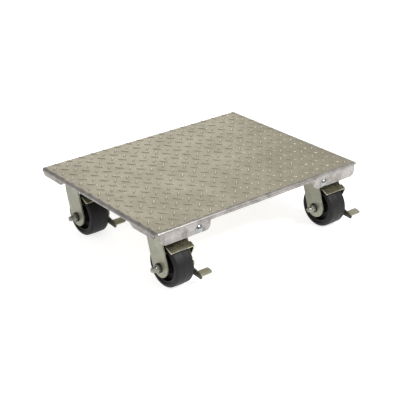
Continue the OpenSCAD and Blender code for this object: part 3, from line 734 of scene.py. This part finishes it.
def build_tyre(c, at):
    half = [(0.0, WHEEL_R), (0.4, WHEEL_R), (0.7, WHEEL_R - 0.08), (9.0, WHEEL_R - 0.15),
            (TREAD_HALF - SHOULDER_R - 1, WHEEL_R - 0.45)]
    half += arc((TREAD_HALF - SHOULDER_R, WHEEL_R - SHOULDER_R - 0.5), SHOULDER_R, 80, 4, 9)
    ring = WHEEL_R - SHOULDER_R - 1
    half += [(TREAD_HALF, ring - 0.6), (TREAD_HALF, ring - 1.6), (TREAD_HALF - 0.35, ring - 2.1),
             (TREAD_HALF - 1.2, ring - 2.5), (TREAD_HALF - 1.7, ring - 3.1),
             (TREAD_HALF - 1.8, TYRE_IN_R + 0.3), (TREAD_HALF - 2.2, TYRE_IN_R)]
    bm = bmesh.new()
    turned(bm, mirrored(half), steps=128, closed=True, at=at)
    piece(f"tyre_{c}_tread", bm, f"wheel_{c}", [tyre_black], [f"tyre_{c}"], sharp=50)


def build_core(c, at):
    fillet = 2.5
    half = [(RIM_HALF, TYRE_IN_R + 0.1), (RIM_HALF, RIM_IN_R + 0.6), (RIM_HALF - 0.6, RIM_IN_R),
            (WEB_HALF + fillet, RIM_IN_R)]
    half += arc((WEB_HALF + fillet, RIM_IN_R - fillet), fillet, 90, 180, 4)
    half += arc((WEB_HALF + fillet, HUB_R + 0.6 + fillet), fillet, 180, 270, 4)
    half += [(HUB_HALF - 0.8, HUB_R), (HUB_HALF, HUB_R - 0.8), (HUB_HALF, BEARING_R)]
    bm = bmesh.new()
    turned(bm, mirrored(half), steps=96, closed=True, at=at)
    piece(f"wheel_core_{c}_moulding", bm, f"wheel_{c}", [core_black],
          [f"wheel_core_{c}"], sharp=40)


def build_axle(c, at):
    """Washer, locking nut and threaded end on the near side, and the bolt through to its head."""
    washer_out = -LEG_FACE - WASHER_T
    hex_out = washer_out - NUT_HEX
    collar_out = hex_out - NUT_COLLAR
    bm = bmesh.new()
    turned(bm, [(washer_out, AXLE_R), (washer_out, WASHER_R - 0.7), (washer_out + 0.5, WASHER_R),
                (-LEG_FACE - 0.4, WASHER_R), (-LEG_FACE, WASHER_R - 0.4), (-LEG_FACE, AXLE_R)],
           closed=True, at=at, material=1)
    hexagon(bm, NUT_AF, hex_out, washer_out, AXLE_R, at)
    collar = [(hex_out + 0.1, NUT_COLLAR_R + 0.6), (hex_out - 0.5, NUT_COLLAR_R)]
    collar += arc((collar_out + 1.4, NUT_COLLAR_R - 1.4), 1.4, 90, 180, 4)
    turned(bm, [(hex_out + 0.1, AXLE_R), *collar, (collar_out, AXLE_R)], closed=True, at=at)
    piece(f"axle_nut_{c}_locking", bm, f"caster_{c}", [axle_zinc, black_washer],
          [f"axle_nut_{c}"])
    bm = bmesh.new()
    threaded(bm, collar_out - AXLE_OUT, collar_out + 1, AXLE_R, AXLE_PITCH, at)
    head_l = 3.5
    turned(bm, [(collar_out + 1, 0), (collar_out + 1, AXLE_R - 0.1),
                (LEG_FACE - head_l, AXLE_R - 0.1), (LEG_FACE - 0.3, AXLE_R + head_l - 0.3),
                (LEG_FACE, AXLE_R + head_l - 0.6), (LEG_FACE, 0)], at=at)
    piece(f"axle_bolt_{c}_threaded", bm, f"caster_{c}", [axle_zinc],
          [f"axle_bolt_{c}"])


def slope_axes(degrees):
    """The way down a slope towards the front, and the way out of its face."""
    a = math.radians(degrees)
    return Vector((math.cos(a), -math.sin(a))), Vector((math.sin(a), math.cos(a)))


def lever_outline(pivot, neck, foot):
    """The flat side plate, from the shoe's neck round the lobe, the arm and the pivot boss,
    and which of its points begins the foot's bend."""
    outline = [neck[1], *(Vector(p) for p in EAR_WAIST)]
    outline += [Vector(p) for p in arc(LOBE, LOBE_R, 50, -42, 10)]
    outline += [Vector(ARM_TOP), foot[0] + ARM_CORNER]
    heel = len(outline)
    outline += [*foot, *(Vector(p) for p in (*PEDAL_END, *ARM_FOOT))]
    outline += [Vector(p) for p in arc(LOBE, LOBE_R, 246, 190, 6)]
    outline += [Vector(p) for p in arc(pivot, BOSS_R, 236, 84, 14)]
    return outline + [neck[0]], heel


def quarter_bend(x, side, radius, ends, onwards, turns):
    """Rows of [x, points] for a sheet that turns out of the plane x, to -X or +X."""
    return [(x + side * radius * (1 - math.cos(t)),
             [p + onwards * radius * math.sin(t) for p in ends]) for t in turns]


def rounded_end(x, side, radius, points, inwards, turns):
    """Rows of [x, points] that end a flat strip at x with its two corners rounded."""
    rows = []
    for t in turns:
        cut = inwards * radius * (1 - math.cos(t))
        rows.append((x - side * radius * (1 - math.sin(t)),
                     [points[0] + cut, *points[1:-1], points[-1] - cut]))
    return rows


def build_lever(c, at):
    """One bent sheet: the side plate, the shoe over the tread and the foot tab."""
    pedal = Vector(joints[f"pedal_{c}"]["pos_m"]) / MM - at.translation
    pivot = Vector((-pedal.y, pedal.z))
    mid_x = LEVER_X + BRAKE_T / 2
    along, out = slope_axes(SHOE_SLOPE)
    shoe = out * (WHEEL_R + SHOE_GAP + BRAKE_T / 2)
    run, over = slope_axes(PEDAL_SLOPE)
    tread = PEDAL_TIP - over * BRAKE_T / 2
    neck = [shoe + along * w - out * SHOE_BEND_R for w in (SHOE_L / 2 - SHOE_NECK, SHOE_L / 2)]
    foot = [tread - run * w - over * FOOT_BEND_R for w in (FOOT_L, 0)]
    bm = bmesh.new()

    def vert(x, p):
        return bm.verts.new(at @ Vector((x, -p.x, p.y)))

    def strip(start, rows):
        """Quads from a row of corners through rows of [x, points]."""
        for x, points in rows:
            nxt = [vert(x, p) for p in points]
            for i in range(len(start) - 1):
                bm.faces.new((start[i], start[i + 1], nxt[i + 1], nxt[i]))
            start = nxt
        return start

    points, heel = lever_outline(pivot, neck, foot)
    outline = [vert(mid_x, p) for p in points]
    hole = [vert(mid_x, Vector(p)) for p in arc(pivot, PIVOT_HOLE_R, 0, 345, 23)]
    loops = [bm.edges.new((ring[i - 1], ring[i]))
             for ring in (outline, hole) for i in range(len(ring))]
    bmesh.ops.triangle_fill(bm, use_beauty=True, use_dissolve=False, edges=loops)
    turns = [math.pi / 2 * k / 6 for k in range(1, 7)]

    bend = quarter_bend(mid_x, -1, SHOE_BEND_R, neck, out, turns)
    bend.append((SHOE_BACK_X, [p + out * SHOE_BEND_R for p in neck]))
    edge = strip([outline[-1], outline[0]], bend)
    back = shoe - along * SHOE_L / 2
    front = shoe + along * SHOE_L / 2
    edge = [vert(SHOE_BACK_X, back), *edge]
    middle = shoe + along * (SHOE_L / 2 - SHOE_NECK)
    across = [back, middle, front]
    rows = [(x, across) for x in (*SHOE_SPLITS, SHOE_X + SHOE_CORNER_R)]
    strip(edge, rows + rounded_end(SHOE_X, -1, SHOE_CORNER_R, across, along, turns[1::2]))

    end = LEVER_X + BRAKE_T + FOOT_OUT
    flat = [p + over * FOOT_BEND_R for p in foot]
    rows = quarter_bend(mid_x, 1, FOOT_BEND_R, foot, over, turns)
    rows += [(x, flat) for x in (mid_x + FOOT_SPLIT, end - FOOT_CORNER_R)]
    rows += rounded_end(end, 1, FOOT_CORNER_R, flat, run, turns)
    strip(outline[heel:heel + 2], rows)

    shoe_z = at.translation.z + shoe.y - SHOE_L / 2
    foot_x = (at @ Vector((mid_x + 0.1, 0, 0))).x
    for face in bm.faces:
        middle = face.calc_center_median()
        face.material_index = 1 if middle.z > shoe_z else 2 if middle.x > foot_x else 0
    # The shoe's outer faces take the painted shade.
    outer = [brake_zinc, shoe_shade_zinc, brake_zinc]
    # Inner faces of the side plate and the shoe take painted shade; the foot keeps the light zinc
    # on both sides.
    inner = [inner_shade_zinc, inner_shade_zinc, brake_zinc]
    obj = piece(f"brake_lever_{c}_bent", bm, f"brake_{c}", outer + [cut_zinc] * 3 + inner,
                [f"brake_lever_{c}"], sharp=40)
    if obj.data.polygons[0].normal.x < 0:
        obj.data.flip_normals()
    sheet = obj.modifiers.new("sheet thickness", "SOLIDIFY")
    sheet.thickness = BRAKE_T * MM
    sheet.offset = 0
    sheet.use_even_offset = True
    sheet.material_offset = 2 * len(outer)
    sheet.material_offset_rim = len(outer)
    roll = obj.modifiers.new("rolled edges", "BEVEL")
    roll.width = LEVER_ROLL * MM
    roll.segments = 2
    roll.limit_method = "ANGLE"
    roll.angle_limit = math.radians(45)


def build_caster(c):
    """One caster and what holds it: built pieces, rolled-over CAD shapes and painted CAD nodes."""
    axle = Vector(joints[f"spin_{c}"]["pos_m"]) / MM
    at = Matrix.Translation((joints[f"swivel_{c}"]["pos_m"][0] / MM, axle.y, axle.z))
    build_tyre(c, at)
    build_core(c, at)
    build_axle(c, at)
    rounded_copy(f"fork_{c}", f"caster_{c}", 0.8, fork_zinc)
    build_lever(c, at)
    rounded_copy(f"corner_bracket_{c}", "deck", 0.6, bracket_steel)
    rounded_copy(f"mount_plate_{c}", "deck", 0.6, fork_zinc)
    for node, material in (("plate_bolts", bright_zinc), ("kingpin", fork_zinc),
                           ("swivel_balls", bearing_steel), ("axle_bushing", bearing_steel),
                           ("wheel_bearing", bearing_steel), ("brake_pivot", axle_zinc)):
        paint(f"{node}_{c}", material)


def paint(node, material):
    """Gives a CAD node one material and leaves its mesh alone."""
    data = frame["nodes"][node].data
    if not data.materials:
        data.materials.append(material)
    for i in range(len(data.materials)):
        data.materials[i] = material


# ------------------------------------------------------------------------------ stage

def build_stage():
    """A wide pale floor, soft light all round and three large lamps."""
    bm = bmesh.new()
    turns = [2 * math.pi * i / FLOOR_STEPS for i in range(FLOOR_STEPS)]
    made = add_grid(bm, [[Vector((r * math.cos(a), r * math.sin(a), FLOOR_Z)) for a in turns]
                         for r in FLOOR_RINGS])
    bm.faces.new(made[0])
    bm.transform(Matrix.Scale(MM, 4))
    bmesh.ops.recalc_face_normals(bm, faces=bm.faces)
    mesh = bpy.data.meshes.new("floor")
    bm.to_mesh(mesh)
    bm.free()
    floor = bpy.data.objects.new("floor", mesh)
    bpy.context.scene.collection.objects.link(floor)
    material = bpy.data.materials.new("pale floor")
    material.use_nodes = True
    shader = material.node_tree.nodes["Principled BSDF"]
    shader.inputs["Base Color"].default_value = (0.7, 0.7, 0.7, 1)
    shader.inputs["Roughness"].default_value = 0.9
    shader.inputs["Specular IOR Level"].default_value = 0.1
    shader.inputs["Emission Color"].default_value = (1, 1, 1, 1)
    shader.inputs["Emission Strength"].default_value = 0.75
    mesh.materials.append(material)

    world = bpy.data.worlds.new("soft studio")
    world.use_nodes = True
    background = world.node_tree.nodes["Background"]
    background.inputs["Color"].default_value = (1.0, 0.995, 0.985, 1)
    background.inputs["Strength"].default_value = 0.45
    bpy.context.scene.world = world
    bpy.context.scene.view_settings.view_transform = "Standard"

    for values in LAMPS:
        lamp(*values)


def lamp(name, place, size, power):
    """A round lamp that points at the middle of the floor."""
    data = bpy.data.lights.new(name, "AREA")
    data.shape = "DISK"
    data.size = size
    data.energy = power
    obj = bpy.data.objects.new(name, data)
    obj.location = place
    obj.rotation_mode = "QUATERNION"
    obj.rotation_quaternion = Vector(place).to_track_quat("Z", "Y")
    bpy.context.scene.collection.objects.link(obj)


def build_camera():
    """Three quarters from the front left, a little above, with a long lens."""
    data = bpy.data.cameras.new("camera")
    data.lens = LENS
    data.sensor_width = SENSOR
    obj = bpy.data.objects.new("camera", data)
    target = Vector((deck_mid.x, deck_mid.y, sheet_top)) * MM
    obj.location = target + CAMERA_FROM_DECK
    up = CAMERA_BACK.cross(CAMERA_RIGHT)
    turn = Matrix((CAMERA_RIGHT, up, CAMERA_BACK)).transposed()
    obj.rotation_mode = "QUATERNION"
    obj.rotation_quaternion = turn.to_quaternion()
    bpy.context.scene.collection.objects.link(obj)
    bpy.context.scene.camera = obj


build_deck()
build_tab_bolts()
for corner in CORNERS:
    build_caster(corner)
build_stage()
build_camera()
